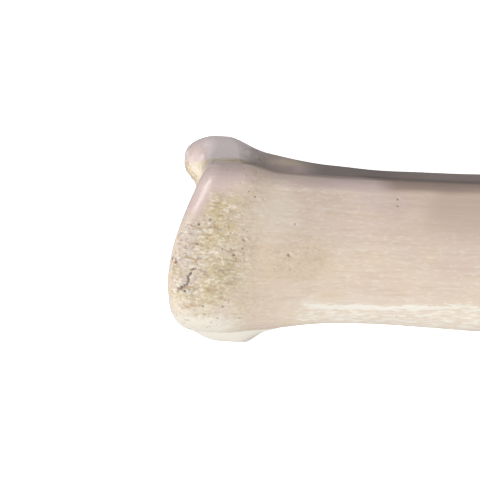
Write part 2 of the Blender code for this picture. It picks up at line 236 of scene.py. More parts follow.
# %% The face of the hock end
FACE_SETBACK = 1.2
FACE_MIDDLE = np.array((6.7, 41.3))
KNOB = (39.0, 25.0)
FAR_CORNER = (-27.5, 27.0)
HOLLOW = (10.0, 46.0)
SUNK = ((HOLLOW, 8.0, 5.0), ((23.0, 48.0), 7.0, 2.5), ((-5.0, 64.0), 13.0, 1.9), ((-9.0, 24.0), 14.0, 2.0))
RIM_RADIUS = 3.0
ROUNDER_RIMS = (
    ((46.0, 25.0), 17.0, 6.4), ((-22.0, 80.0), 15.0, 6.0),
    ((-32.0, 24.0), 15.0, 5.5), ((21.0, 82.0), 13.0, 3.0),
)


def bell(points, middle, width, flatness=1.0):
    """Return 1 at a middle in the section, falling off over the width."""
    away = ((points - np.array(middle)) ** 2).sum(axis=-1)
    return np.exp(-(away / width ** 2) ** flatness)


def ramp(values, start, stop):
    """Rise in a straight line from 0 at start to 1 at stop, and on."""
    return (values - start) / (stop - start)


def end_face(points):
    """Return how far behind the bone's end the rim lies at each (y, z)."""
    towards_back = np.clip(ramp(points[..., 0], -8, 29), 0, 1)
    towards_outside = np.clip(ramp(points[..., 1], 20, 82), 0, 1)
    fall = 11 * towards_back ** 1.7 * (0.5 + 0.5 * towards_outside)
    bevel = 2.8 * np.clip(ramp(points[..., 0], -14, -24), 0, 2) ** 2
    corners = 5 * bell(points, FAR_CORNER, 7) - 7 * bell(points, KNOB, 10.4, 1.7)
    return FACE_SETBACK + fall + bevel + corners


def face_relief(points):
    """Return the depth of the hollow and of the dished facets inside the rim."""
    return sum(depth * bell(points, place, width) for place, width, depth in SUNK)


print("The outer back corner lies", round(end_face(np.array((28, 84))), 1), "mm back")

# %% [markdown]
# The skin is made of rings: over the face, round the rim and along the shaft. They lie 0.36 mm
# apart where the camera is close, and grow to 1.2 mm further on.

# %% Rings from the middle of the face to the lower shaft
FACE_RINGS = 50
RIM_RINGS = 30
BEHIND_RIM_RINGS = 26
FIRST = 13.0
NEAR_STEP = 0.36
FAR_STEP = 1.2
NEAR_UNTIL = 125.0
SHAFT_END = 560.0
FACE_FADE = 46.0


def hock_rings(first):
    """Return the rings of the face and the rim inside the first outline of the shaft."""
    inward = FACE_MIDDLE - first
    inward /= reach(inward)
    radius = RIM_RADIUS + sum(added * bell(first, place, width) for place, width, added in ROUNDER_RIMS)
    edge = first + inward * radius[:, None]
    rings = []
    for k in np.linspace(0, 1, FACE_RINGS + 1)[1:-1] ** 0.8:
        flat = FACE_MIDDLE + (edge - FACE_MIDDLE) * k
        sunk = face_relief(flat) * (1 - k ** 6)
        rings.append(np.column_stack((end_face(flat) + sunk, flat)))
    for turn in np.linspace(0, math.pi / 2, RIM_RINGS):
        flat = first + inward * (radius * (1 - math.sin(turn)))[:, None]
        rings.append(np.column_stack((end_face(flat) + radius * (1 - math.cos(turn)), flat)))
    for k in np.linspace(0, 1, BEHIND_RIM_RINGS)[1:-1]:
        rings.append(np.column_stack((end_face(first) + radius + (FIRST - radius) * k, first)))
    return np.array(rings)


def shaft_rings(at, thin=1):
    """Return the rings of the shaft, which at first lean as the face does."""
    flat = outlines(at, thin)
    lean = np.maximum(0, 1 - (at - FIRST) / FACE_FADE)[:, None] ** 2
    return np.concatenate(((at[:, None] + end_face(flat) * lean)[..., None], flat), axis=-1)


near = np.arange(FIRST, NEAR_UNTIL, NEAR_STEP)
far_count = round(2 * (SHAFT_END - NEAR_UNTIL) / (NEAR_STEP + FAR_STEP))
grown = np.cumsum(np.linspace(NEAR_STEP, FAR_STEP, far_count))
far = NEAR_UNTIL + np.concatenate(((0,), grown / grown[-1])) * (SHAFT_END - NEAR_UNTIL)
along = np.concatenate((near, far))
first_outline = outlines(np.array([FIRST]))[0]
rings = np.concatenate((hock_rings(first_outline), shaft_rings(along)))
tip = np.array(((end_face(FACE_MIDDLE) + face_relief(FACE_MIDDLE)), *FACE_MIDDLE))
print(len(rings), "rings of", rings.shape[1], "points")

# %% [markdown]
# Rings turn into faces by joining each point with its neighbour and with the two behind them.
# With both ends closed, the same helper makes the rollers of the hoof end.

# %% Turn rings into a mesh


def skin(rings, first=None, last=None):
    """Return (places, faces) of a tube through the rings, closed at the tips given."""
    count, around = rings.shape[:2]
    places = [rings.reshape(-1, 3)]
    corner = np.arange(count * around).reshape(count, around)
    beside = np.roll(corner, -1, axis=1)
    quads = np.stack((beside[:-1], corner[:-1], corner[1:], beside[1:]), axis=-1)
    faces = quads.reshape(-1, 4).tolist()
    for end, edge, order in ((first, 0, 1), (last, -1, -1)):
        if end is not None:
            tip_corner = sum(len(part) for part in places)
            places.append(np.reshape(end, (1, 3)))
            fan = zip(corner[edge].tolist(), beside[edge].tolist())
            faces += [(tip_corner, *(link[::order])) for link in fan]
    return np.concatenate(places), faces


def mesh_of(name, *parts):
    """Make one mesh data block from several (places, faces)."""
    places = np.concatenate([part[0] for part in parts])
    faces = []
    start = 0
    for part_places, part_faces in parts:
        faces += [[corner + start for corner in face] for face in part_faces] if start else part_faces
        start += len(part_places)
    data = bpy.data.meshes.new(name)
    data.from_pydata(places.tolist(), [], faces)
    return data


shaft = mesh_of("shaft", skin(rings, first=tip))
print("The shaft and hock end have", len(shaft.polygons), "faces")

# %% [markdown]
# ## The hoof end
#
# The bone ends in two rollers, one for each toe, each with a keel round it that ran in a groove
# of the toe bone. A roller is a turned shape: its profile is spun about its own axis, with the
# corners cut off three times. The keel is lower in front.

# %% Profile of a roller
KEEL_RADIUS = 26.0
TREAD_RADIUS = 21.0
KEEL_SHARE = 0.53
SPIN_STEPS = 160
FRONT_LOSS = 0.55


def roller_profile(width):
    """Return a roller's outline as (radius, height), from notch side to outer side."""
    keel = KEEL_SHARE * width
    rise = KEEL_RADIUS - TREAD_RADIUS
    return (TREAD_RADIUS, 0) + np.array((
        (-TREAD_RADIUS, width), (-4.0, width), (-0.8, width - 1.2), (0.5, width - 4.0),
        (0.4, keel + 7.0), (1.6, keel + 4.6), (rise - 0.7, keel + 2.0), (rise, keel),
        (rise - 0.9, keel - 2.2), (1.2, keel - 5.0), (-0.2, keel - 8.0), (-1.2, 7.5),
        (-3.2, 3.2), (-6.5, 0.9), (-11.0, 0.0), (-TREAD_RADIUS, 0.0),
    ))


def cut_corners(line, times):
    """Cut every corner of an open line, this many times."""
    for _ in range(times):
        cuts = [line[:-1] * (1 - share) + line[1:] * share for share in (0.25, 0.75)]
        line = np.concatenate((line[:1], np.stack(cuts, axis=1).reshape(-1, 2), line[-1:]))
    return line


def roller(width, foot, roll, flip):
    """Spin a roller and stand it on its foot, leaning by roll. A flipped one hangs down."""
    line = cut_corners(roller_profile(width), 3)
    turn = np.linspace(0, 2 * math.pi, SPIN_STEPS, endpoint=False)
    radius = line[1:-1, :1]
    in_front = np.clip(-np.sin(turn) * flip, 0, 1) ** 2
    radius = radius - FRONT_LOSS * in_front * np.clip(radius - TREAD_RADIUS - 0.5, 0, None)
    height = np.repeat(line[1:-1, 1:], SPIN_STEPS, axis=1) * flip
    rings = np.stack((radius * np.cos(turn), radius * np.sin(turn) * flip, height), axis=-1)
    tips = np.array(((0, 0, line[0, 1] * flip), (0, 0, line[-1, 1] * flip)), float)
    lean = np.array(((1, 0, 0), (0, math.cos(roll), math.sin(roll)), (0, -math.sin(roll), math.cos(roll))))
    return skin(rings @ lean + foot, first=tips[0] @ lean + foot, last=tips[1] @ lean + foot)


print(len(cut_corners(roller_profile(42), 3)), "points in a roller's profile")

# %% [markdown]
# The rollers grow out of the shaft without a seam. A voxel remesh fuses the overlapping shells,
# and then the hollow corners between them are filled by moving each point towards the middle of
# its neighbours.

# %% Fuse the rollers with the lower shaft
INNER_WIDTH = 42.0
OUTER_WIDTH = 40.0
NOTCH_WIDTH = 9.0
END_WIDTH = INNER_WIDTH + NOTCH_WIDTH + OUTER_WIDTH
ROLLER_BACK = -1.0
ROLLER_LIFT = 0.3
ROLLER_ROLL = math.radians(2.5)
ROLLER_AT = LENGTH - KEEL_RADIUS
OUTER_SETBACK = 1.5
LOWER_PLACES = (545.0, 672.5, 1.0)
FUSE_VOXEL = 0.8


def apply_modifiers(data, *settings):
    """Run modifiers, given as (kind, {setting: value}), on a mesh."""
    thing = placed(data.name, data)
    for kind, values in settings:
        modifier = thing.modifiers.new(kind.lower(), kind)
        for name, value in values.items():
            setattr(modifier, name, value)
    bpy.context.view_layer.update()
    finished = thing.evaluated_get(bpy.context.evaluated_depsgraph_get())
    made = bpy.data.meshes.new_from_object(finished)
    bpy.data.objects.remove(thing)
    return made


lower = shaft_rings(np.arange(*LOWER_PLACES), thin=2)
lower_shaft = skin(lower, first=lower[0].mean(axis=0), last=lower[-1].mean(axis=0))
inner_foot = np.array((ROLLER_AT, ROLLER_BACK, ROLLER_LIFT))
outer_foot = np.array((ROLLER_AT - OUTER_SETBACK, ROLLER_BACK, END_WIDTH))
parts = mesh_of(
    "hoof_end_parts",
    lower_shaft,
    roller(INNER_WIDTH, inner_foot, ROLLER_ROLL, 1),
    roller(OUTER_WIDTH, outer_foot, ROLLER_ROLL, -1),
)
hoof_end = apply_modifiers(parts, ("REMESH", {"mode": "VOXEL", "voxel_size": FUSE_VOXEL}))
print("The fused hoof end has", len(hoof_end.polygons), "faces")

# %% [markdown]
# A point lies in a hollow where the middle of its neighbours stands off the surface on its
# outer side. Only such points are eased, so the keels and outer edges keep their shape.

# %% Fill the hollow corners
FILLET_ROUNDS = 200
FILLET_FROM = 605.0
HOLLOW_ENOUGH = 0.022
FILLET_STEP = 0.7
LOOK_EVERY = 10
SPREAD_ROUNDS = 4
SPREAD_SHARE = 0.85


def read(items, name, width=3, kind=np.float32):
    """Read one value of every vertex, edge or face as an array."""
    values = np.empty(len(items) * width, kind)
    items.foreach_get(name, values)
    return values.reshape(-1, width)


def move(data, places):
    """Move a mesh's points to these places."""
    data.vertices.foreach_set("co", places.ravel())
    data.update()


def mean_of_neighbours(values, edges, degree):
    """Return the mean of each point's neighbours."""
    total = np.zeros_like(values)
    for column in range(values.shape[1]):
        for here, there in ((0, 1), (1, 0)):
            total[:, column] += np.bincount(edges[:, here], values[edges[:, there], column], len(values))
    return total / degree[:, None]


def fill_hollows(data):
    """Ease the hollow corners of a mesh beyond FILLET_FROM."""
    places = read(data.vertices, "co").astype(float)
    edges = read(data.edges, "vertices", 2, np.int32)
    degree = np.bincount(edges.ravel(), minlength=len(places))
    for turn in range(FILLET_ROUNDS):
        if turn % LOOK_EVERY == 0:
            move(data, places)
            out = read(data.vertex_normals, "vector").astype(float)
            hollow = ((mean_of_neighbours(places, edges, degree) - places) * out).sum(axis=1)
            share = np.clip(hollow / HOLLOW_ENOUGH, 0, 1) * (places[:, 0] > FILLET_FROM)
            for _ in range(SPREAD_ROUNDS):
                widest = share.copy()
                np.maximum.at(widest, edges, SPREAD_SHARE * share[edges[:, ::-1]])
                share = widest
        places += share[:, None] * FILLET_STEP * (mean_of_neighbours(places, edges, degree) - places)
    move(data, places)
    return share


print("Eased", (fill_hollows(hoof_end) > 0.5).sum(), "points in hollow corners")

# %% [markdown]
# Then the deep notch between the toes, with its round end, and a vessel's opening in front are
# cut away.

# %% Cut the notch and the front opening
NOTCH_DEPTH = 44.0
NOTCH_SHAVE = 0.1
NOTCH_HALF = NOTCH_WIDTH / 2 + NOTCH_SHAVE
NOTCH_START = LENGTH - NOTCH_DEPTH + NOTCH_HALF
NOTCH_Z = INNER_WIDTH + ROLLER_LIFT + NOTCH_WIDTH / 2
FRONT_HOLE_AT = LENGTH - NOTCH_DEPTH - 22
FRONT_HOLE_RADIUS = 2.2
CUT_VOXEL = 0.6
ROD_POINTS = 48
KNIFE_HALF = 40.0


def rod(at, y, half, radius):
    """Return (places, faces) of a round rod that runs from front to back."""
    turn = np.linspace(0, 2 * math.pi, ROD_POINTS, endpoint=False)
    ring = np.stack((at + radius * np.cos(turn), 0 * turn, NOTCH_Z + radius * np.sin(turn)), axis=-1)
    rings = np.array([ring + (0, y + half, 0), ring + (0, y - half, 0)])
    return skin(rings, first=(at, y + half, NOTCH_Z), last=(at, y - half, NOTCH_Z))


def slab(start, stop):
    """Return (places, faces) of a box as high as the notch."""
    square = ((-KNIFE_HALF, -NOTCH_HALF), (-KNIFE_HALF, NOTCH_HALF), (KNIFE_HALF, NOTCH_HALF),
              (KNIFE_HALF, -NOTCH_HALF))
    rings = np.array([[(at, across, NOTCH_Z + up) for across, up in square] for at in (stop, start)])
    return skin(rings, first=rings[0].mean(axis=0), last=rings[1].mean(axis=0))


for name, cutter in (
    ("notch", slab(NOTCH_START, LENGTH + 9)),
    ("notch_end", rod(NOTCH_START, 0, KNIFE_HALF, NOTCH_HALF)),
    ("front_opening", rod(FRONT_HOLE_AT, -21.5, 8, FRONT_HOLE_RADIUS)),
):
    knife = bpy.data.objects.new(name, mesh_of(name, cutter))
    cut = {"object": knife, "operation": "DIFFERENCE", "solver": "MANIFOLD"}
    hoof_end = apply_modifiers(hoof_end, ("BOOLEAN", cut))
    bpy.data.objects.remove(knife)
    print("After the", name, "cut:", len(hoof_end.polygons), "faces")
hoof_end = apply_modifiers(hoof_end, ("REMESH", {"mode": "VOXEL", "voxel_size": CUT_VOXEL}))
print("The finished hoof end has", len(hoof_end.polygons), "faces")

# %% [markdown]
# Last, the hoof end is sliced off square just past the shaft's last ring, and a band of faces
# joins the two open edges. Each edge is walked from point to point, so that none is left out. A
# last smoothing of the band takes out what little step there is.

# %% Join the hoof end to the shaft
SEAM_GAP = 0.7
SEAM_HALF = 9.0
SEAM_ROUNDS = 40


def open_ring(both, done=()):
    """Walk round an open edge and return its points and their directions."""
    beside = {}
    for edge in both.edges:
        if edge.is_boundary and edge.verts[0] not in done:
            for point in edge.verts:
                beside.setdefault(point, []).append(edge.other_vert(point))
    ring = [min(beside, key=lambda point: (point.co.y, point.co.z))]
    ahead = beside[ring[0]][0]
    while ahead != ring[0]:
        ring.append(ahead)
        ahead = next(point for point in beside[ahead] if point != ring[-2])
    flat = np.array([point.co.yz for point in ring])
    y, z = (flat - flat.mean(axis=0)).T
    if (y * np.roll(z, -1)).sum() < (z * np.roll(y, -1)).sum():
        ring, y, z = ring[::-1], y[::-1], z[::-1]
    start = np.argmin(np.arctan2(z, y))
    return ring[start:] + ring[:start], np.unwrap(np.roll(np.arctan2(z, y), -start)).tolist()


def zip_up(both, one, other):
    """Fill the gap between two rings with triangles."""
    a, b = [ring + ring[:1] for ring, _ in (one, other)]
    a_turn, b_turn = [turn + [turn[0] + 2 * math.pi] for _, turn in (one, other)]
    i = j = 1
    while i < len(a) or j < len(b):
        here, there = a[i - 1], b[j - 1]
        if j == len(b) or (i < len(a) and a_turn[i] <= b_turn[j]):
            both.faces.new((here, a[i], there))
            i += 1
        else:
            both.faces.new((here, b[j], there))
            j += 1


def joined(front, back, at):
    """Slice off what lies before at and zip the rest to the front."""
    both = bmesh.new()
    both.from_mesh(back)
    bmesh.ops.bisect_plane(
        both, geom=both.verts[:] + both.edges[:] + both.faces[:], plane_co=(at, 0, 0), plane_no=(1, 0, 0),
        clear_inner=True)
    back_ring = open_ring(both)
    both.from_mesh(front)
    front_ring = open_ring(both, set(back_ring[0]))
    zip_up(both, front_ring, back_ring)
    bmesh.ops.recalc_face_normals(both, faces=both.faces)
    data = bpy.data.meshes.new("bone")
    both.to_mesh(data)
    print("Zipped", len(front_ring[0]) + len(back_ring[0]), "edges, left open",
          sum(edge.is_boundary for edge in both.edges))
    both.free()
    return data


def ease_band(data, at):
    """Smooth a band without shrinking it: every second step pushes back out."""
    places = read(data.vertices, "co").astype(float)
    near = abs(places[:, 0] - at) < SEAM_HALF
    links = read(data.edges, "vertices", 2, np.int32)
    links = (np.cumsum(near) - 1)[links[near[links].all(axis=1)]]
    part = places[near]
    degree = np.maximum(np.bincount(links.ravel(), minlength=len(part)), 1)
    share = np.clip(1.6 - 1.6 * abs(part[:, :1] - at) / SEAM_HALF, 0, 1)
    for _ in range(SEAM_ROUNDS):
        for step in (0.6, -0.62):
            part += step * share * (mean_of_neighbours(part, links, degree) - part)
    places[near] = part
    move(data, places)
    return near.sum()


bone_mesh = joined(shaft, hoof_end, SHAFT_END + SEAM_GAP)
print("Eased", ease_band(bone_mesh, SHAFT_END + SEAM_GAP / 2), "points round the joint")

# %% [markdown]
# ## Weathering the surface
#
# The ends of a bone are spongy under a thin shell, with pits, small vessel holes and a lumpy
# skin. The shaft is dense, with fine lines along it. All of it moves points along their normals.
# Smooth noise does the lumps: each cell corner gets a random slope, and the slopes are blended.

# %% Smooth noise
rng = np.random.default_rng(1906)
SHUFFLED = rng.permutation(256)
SLOPES = rng.normal(size=(256, 3))
SLOPES /= reach(SLOPES)
TILT = np.linalg.qr(rng.normal(size=(3, 3)))[0]


def noise(lump, kind):
    """Return noise from about -1 to 1 at the points, with lumps of this size."""
    cells = spots / np.asarray(lump, float)
    if np.ndim(lump) == 0:
        cells = cells @ TILT
    cells = cells + 37.7 * kind
    low = np.floor(cells).astype(int)
    part = cells - low
    blend = part * part * part * (part * (part * 6 - 15) + 10)
    total = np.zeros(len(spots))
    for step in np.ndindex(2, 2, 2):
        key = 0
        for axis in range(3):
            key = SHUFFLED[(key + low[:, axis] + step[axis]) & 255]
        slope = ((part - step) * SLOPES[key]).sum(axis=1)
        total += slope * np.where(step, blend, 1 - blend).prod(axis=1)
    return total * 1.6


def fade(values, start, stop):
    """Return 0 up to start and 1 from stop on, with an easy change."""
    t = np.clip((values - start) / (stop - start), 0, 1)
    return t * t * (3 - 2 * t)


def blot(middle, size, kind):
    """Return a soft blot of this size, with a wandering edge."""
    away = reach((spots - middle) / size)[:, 0] + 0.25 * noise(5.0, kind)
    return fade(away, 1.15, 0.35)


spots = read(bone_mesh.vertices, "co").astype(float)
out = read(bone_mesh.vertex_normals, "vector").astype(float)
at, y, z = spots.T
print("Noise at the first points:", np.round(noise(5.0, 1)[:4], 2))

# %% [markdown]
# ### Where the bone is spongy, polished or part of a joint
#
# Masks say how strongly each finish holds at each point. The hock end is rough and spongy up to
# its rim, but handling polished the rim at the outer back corner and the knob. The facets of the
# face and the treads of the rollers carried gristle and are smooth.

# %% Masks over the surface
wander = noise(9.0, 1)
section = spots[:, 1:]
behind_face = at - end_face(section)
hock = fade(at + 5 * wander, 38, 15)
hoof = fade(at + 8 * wander, 575, 645)
rim_polish = fade(behind_face, 8, 3.5) * fade(y + 2 * wander, 9, 17) * fade(z, 58, 70)
ridge_polish = fade(at + 3 * wander, 30, 16) * fade(y + wander, 18, 24) * fade(z, 50, 66)
knob_polish = fade(y + 0.5 * wander, 34.5, 37) * fade(at, 34, 18) * fade(z, 58, 48)
polish = np.maximum.reduce((rim_polish, ridge_polish, knob_polish))
facing_end = fade(-out[:, 0], 0.75, 0.95) * (at < 30)
on_face = facing_end > 0
from_rim = np.zeros(len(spots))
from_rim[on_face] = reach(section[on_face][:, None] - first_outline[None, ::4]).min(axis=1)[:, 0]
polish *= fade(from_rim + 4 * wander + 2 * noise(4.0, 27), 12, 4)
hollow = np.clip(bell(section, HOLLOW, 11, 2) + bell(section, (23, 49), 9, 2), 0, 1)
facet = facing_end * (1 - hollow) * fade(y + 3 * wander, 33, 27)
on_side = np.abs(out[:, 2])
keel_heights = (ROLLER_LIFT + KEEL_SHARE * INNER_WIDTH, END_WIDTH - KEEL_SHARE * OUTER_WIDTH)
near_keel = sum(np.exp(-((z - height) / 6) ** 2) for height in keel_heights)
margin = at + 9 * near_keel + 2 * wander
tread = fade(margin, 657, 662) * fade(on_side, 0.75, 0.5) * fade(abs(z - NOTCH_Z), 5.5, 7.5)
sponge = np.maximum(hock, hoof * 0.55) * (1 - polish) * (1 - 0.9 * facet) * (1 - 0.95 * tread)
smoother_front = fade(y + 2 * wander, -9, -16) * hock * fade(z, 48, 62)
far_front = fade(z, 64, 50) * fade(y, -18, -27) * fade(at, 62, 35)
sponge *= (1 - 0.15 * smoother_front) * (1 - 0.7 * far_front)
sponge = np.maximum(sponge, 0.45 * blot((41, 2, 80), (12, 8, 9), 11))
print("Spongy share of the points:", round(sponge.mean(), 3))

# %% [markdown]
# ### Lumps and grain
#
# Several sizes of noise are laid over each other. On the shaft the lumps are drawn out along the
# bone. Ligaments were rooted in a shallow pit on each side of the hoof end, and the gristle of
# the rollers ended in a low step. A shallow groove parts the two facets of the hock end's face.

# %% Raise and sink the surface
LIGAMENT_DEPTH = 2.2
lumps = 0.24 * noise(6.5, 2) + 0.1 * noise(2.6, 3)
lumps -= 0.2 * np.abs(noise((2.4, 1.2, 1.2), 4))
grain = 0.11 * noise((70, 6, 6), 5) + 0.05 * noise((22, 1.9, 1.9), 6)
scars = 0.35 * noise((11, 1.6, 1.6), 7)
on_ridges = fade(at, 140, 240) * fade(at, 560, 430) * fade(y, 14, 20) * fade(out[:, 1], 0.0, 0.6)
growth_line = np.exp(-((at - 631 - 5 * wander - 0.06 * (z - 45)) / 1.8) ** 2) * (at > 600)
growth_line *= fade(noise(13.0, 24), -0.35, 0.3)
raised = 0.3 * noise(24.0, 8)
raised += sponge * lumps + (1 - sponge) * (1 - polish) * grain
raised += on_ridges * scars - 0.22 * growth_line
raised += facing_end * (hollow * 0.8 * noise(3.4, 9) + 1.4 * hollow * (1 - hollow))
beside_rollers = [spots - (ROLLER_AT - 2, ROLLER_BACK, side) for side in (0, END_WIDTH)]
ligament_away = np.minimum(*(reach(way / (11, 8, 7))[:, 0] for way in beside_rollers))
raised -= LIGAMENT_DEPTH * fade(ligament_away + 0.22 * noise(5.0, 20), 1.1, 0.35)
raised += tread * (0.3 * (1 - fade(margin, 660, 668)) + 0.3 * noise(10.0, 31))
parting = np.exp(-((z - 44 - 0.2 * y + wander) / 2.4) ** 2) * fade(y, 4, -6)
raised -= 0.8 * facing_end * parting
print("The relief reaches", np.round((raised.min(), raised.max()), 2), "mm")

# %% [markdown]
# ### Pits and vessel holes
#
# The shell over spongy bone is pierced by very many small holes. Each is stamped as a little
# bowl: points within its radius sink, and are remembered as dark for painted shade. Their places
# are drawn at random, more often where the bone is spongy.

# %% Scatter pits
PIT_COUNT = 1700
area = read(bone_mesh.polygons, "area", 1)[:, 0]
count = read(bone_mesh.polygons, "loop_total", 1, np.int32)[:, 0]
corner = read(bone_mesh.loops, "vertex_index", 1, np.int32)[:, 0]
surface = np.bincount(corner, np.repeat(area / count, count), len(spots))
tree = kdtree.KDTree(len(spots))
for i, place in enumerate(spots.tolist()):
    tree.insert(place, i)
tree.balance()
sunk = np.zeros(len(spots))
dark = np.zeros(len(spots))


def stamp(middle, radius, depth, darkness):
    """Sink a bowl round a place and darken it with painted shade."""
    for _, i, away in tree.find_range(middle, radius):
        bowl = (1 - (away / radius) ** 2) ** 1.5
        sunk[i] = max(sunk[i], depth * bowl)
        dark[i] = max(dark[i], darkness * bowl)


clusters = fade(noise(8.0, 10), -0.35, 0.45) + 0.08
top = SIZE_AT["outer_top"](at)
sparse = 0.003 * fade(z, top - 6, top - 16)
likely = surface * (sponge ** 2.2 * clusters + sparse + 0.6 * facing_end * hollow)
chosen = rng.choice(len(spots), PIT_COUNT, replace=False, p=likely / likely.sum())
for i in chosen:
    radius = 0.34 + 0.5 * rng.random() ** 5
    stamp(spots[i], radius, radius * rng.uniform(0.25, 0.7), rng.uniform(0.1, 0.95) ** 3)
print("Stamped", PIT_COUNT, "pits, which sink", (sunk > 0).sum(), "points")

# %% [markdown]
# A few marks are set one by one: two vessel holes side by side near the back ridge, a pinhole,
# a nick in the lower edge, and a branching crack in the spongy end. Thin brown smears of dried
# fat only colour it.

# %% Stamp the marks that stand out
HOLES = (
    ((73.4, 21.6, 76.6), 0.5, 0.4, 0.7), ((73.4, 19.4, 76.9), 0.5, 0.35, 0.65),
    ((40.5, 12.2, 81.0), 0.42, 0.3, 0.6), ((10.8, 10.9, 85.0), 0.6, 0.5, 0.8),
    ((1.3, -6.1, 79.0), 0.9, 0.6, 0.9), ((2.7, 0.1, 83.1), 0.8, 0.5, 0.8),
    ((4.1, -1.0, 84.3), 0.7, 0.5, 0.8), ((75.9, -16.9, 71.2), 0.9, 0.5, 0.5),
    ((13.5, -17.3, 81.0), 0.8, 0.3, 0.4), ((3.6, 35.4, 33.0), 0.6, 0.1, 0.3),
    ((5.2, 33.6, 33.0), 0.5, 0.1, 0.25),
)
CRACKS = (
    ((9.0, -3.9, 84.2), (8.0, -5.4, 84.0), (8.4, -6.7, 83.8), (7.7, -7.8, 83.6), (5.5, -9.0, 83.2)),
    ((7.7, -7.8, 83.6), (6.2, -8.7, 83.3), (4.9, -9.2, 83.0)),
    ((7.3, -9.6, 83.2), (7.1, -10.1, 83.2)),
    ((10.2, -2.6, 84.5), (8.9, -3.2, 84.3)),
)
SMEARS = (
    ((8.6, 10.4, 84.5), (11.6, 9.3, 84.9), 0.55, 0.8), ((7.2, 0.9, 84.2), (10.6, -0.3, 84.7), 0.6, 0.9),
    ((4.4, 4.6, 84.0), (7.6, 3.8, 84.3), 0.45, 0.5), ((13.5, -8.6, 84.0), (18.0, -9.6, 83.6), 0.6, 0.4),
    ((7.1, -8.9, 83.3), (9.3, -8.7, 83.4), 0.5, 0.8), ((9.3, -8.7, 83.4), (11.5, -9.9, 83.3), 0.4, 0.6),
    ((5.4, -14.8, 82.0), (9.8, -13.9, 82.5), 0.42, 0.6),
    ((9.8, -14.2, 82.4), (11.9, -14.6, 82.4), 0.5, 0.6),
    ((6.2, -15.5, 81.7), (9.4, -14.7, 82.2), 0.5, 0.8),
    ((11.6, -14.2, 82.5), (13.7, -13.0, 82.8), 0.4, 0.5),
    ((13.8, -13.7, 82.6), (15.9, -13.0, 82.8), 0.4, 0.6),
    ((8.2, -17.6, 80.8), (11.4, -17.0, 81.2), 0.4, 0.35),
)
smeared = np.zeros(len(spots))
for hole in HOLES:
    stamp(*hole)
for crack in CRACKS:
    for start, stop in zip(np.array(crack[:-1]), np.array(crack[1:])):
        for share in np.linspace(0, 1, 12):
            place = start + (stop - start) * share
            place = tree.find(place + 0.13 * rng.normal(size=3) * (1, 1, 0))[0]
            stamp(place, rng.uniform(0.26, 0.42), 0.4, rng.uniform(0.35, 0.95))
for start, stop, width, strength in SMEARS:
    line = np.subtract(stop, start)
    share = np.clip(((spots - start) @ line) / (line @ line), 0, 1)
    away = reach((spots - start - share[:, None] * line) * (1, 1, 0.3))[:, 0] / width
    smeared = np.maximum(smeared, strength * fade(away + 0.5 * noise(1.5, 28), 1.0, 0.2))
print("Stamped", len(HOLES), "holes,", len(CRACKS), "cracks and", len(SMEARS), "smears")

# %% [markdown]
# The artery enters through a slanting slit in the trough, whose bowl is measured in stretched
# coordinates. The canal in the hock end's face goes straight in.

# %% Sink the artery's slit and the canal
SLIT = np.array((232.0, 17.0, 52.0))
CANAL_RADIUS = 2.6
CANAL_DEPTH = 9.0
slit_away = reach((spots - SLIT) / (7.0, 9.0, 1.9))[:, 0]
slit_bowl = np.clip(1 - slit_away ** 2, 0, 1)
canal_away = reach(section - HOLLOW)[:, 0]
canal_bowl = fade(canal_away, CANAL_RADIUS, CANAL_RADIUS * 0.75) * (at < 30)
sunk = np.maximum(sunk, 2.4 * slit_bowl)
# Painted shade darkens the slit and the canal.
dark = np.maximum.reduce((dark, slit_bowl ** 0.7, canal_bowl))
shaped = spots + out * (raised - sunk)[:, None]
shaped[:, 0] += CANAL_DEPTH * canal_bowl
print("The slit sinks", (slit_bowl > 0).sum(), "points, the canal", (canal_bowl > 0).sum())

# %% [markdown]
# ## The finished skin
#
# The worked points go back into the mesh as metres in the frame. Nothing may reach past the
# solid's outer box, so the few points that do are pressed back onto it.

# %% Make the bone
places = np.clip(in_frame(shaped), cad_low, cad_high)
move(bone_mesh, places)
bone_mesh.shade_smooth()
bone = placed("giraffe_metatarsal", bone_mesh)
print("The skin has", len(bone_mesh.polygons), "faces, lowest at", places[:, 2].min(), "m")

# %% [markdown]
# Some colours belong to a place and not to a kind of surface. Each is a number from 0 to 1 at
# every point. The simplest are soft blots: yellow where fat soaked out, rosy, grey or pale.

# %% Blots of colour
BLOTS = (
    ("yellow", 0.7, (42, 1, 80), (15, 9, 9), 11), ("yellow", 1.0, (5, 32, 34), (8, 4, 12), 14),
    ("yellow", 0.5, (40.6, 36.9, 36.3), (5, 4, 5), 15), ("rosy", 0.5, (70, 21, 77), (13, 7, 6), 12),
    ("rosy", 1.0, (45, 33.7, 39.3), (6, 3.5, 5), 16), ("grey", 0.75, (37, 33, 43), (8, 5, 8), 17),
    ("pale", 0.22, (34, 16, 82), (10, 11, 6), 23), ("pale", 0.5, (5.5, 32.8, 33.6), (7, 4, 6), 36),
)
colour_masks = {"spongy": sponge, "polished": np.maximum(polish, 0.5 * tread), "dark": dark, "smeared": smeared}
for name, strength, middle, size, kind in BLOTS:
    colour_masks[name] = colour_masks.get(name, 0) + strength * blot(middle, size, kind)
print("Blotted:", sorted({name for name, *_ in BLOTS}))
